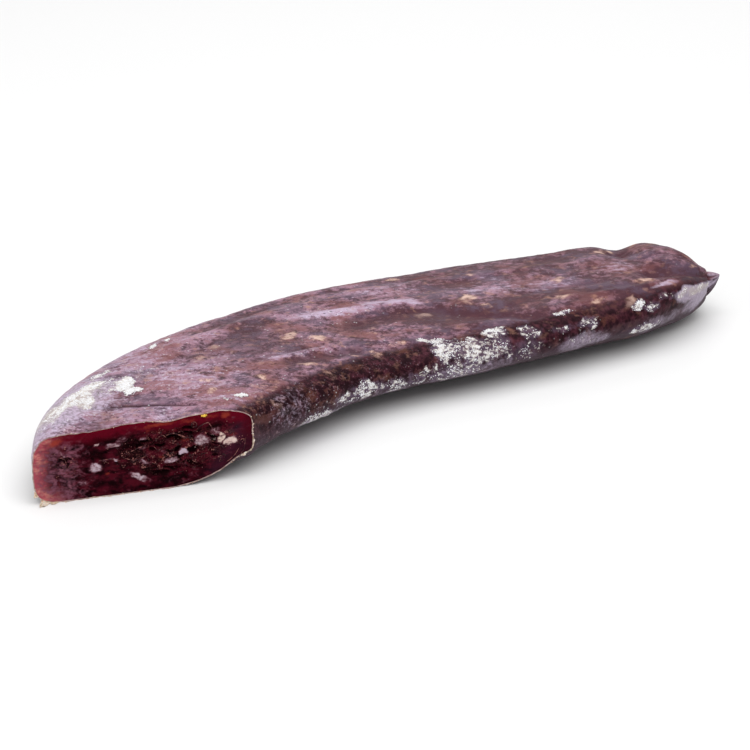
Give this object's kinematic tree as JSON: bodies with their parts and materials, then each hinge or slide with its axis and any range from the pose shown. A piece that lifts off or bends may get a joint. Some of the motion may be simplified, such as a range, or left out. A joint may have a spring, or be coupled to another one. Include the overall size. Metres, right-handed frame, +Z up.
{
  "type": "cured sausage",
  "caption": "Flat-pressed cured sausage, gently bent, in a wrinkled casing dusted with white mould, with a slanted cut face and a gathered tail end.",
  "frame": {"origin": "middle of the footprint's bounding box, on the surface that the sausage lies on", "axes": "+Z up; +X along the sausage's length from the cut end to the gathered tail; the hollow side of its bend faces -Y"},
  "size_m": [0.2594, 0.0782, 0.0234],
  "materials": {
    "casing": "dry wrinkled sausage casing, mauve brown, satin",
    "meat": "moist dark red cut meat with pale fat, glossy",
    "mould": "white powdery mould, matt"
  },
  "bodies": {
    "root": {"sausage": "casing"}
  },
  "joints": []
}
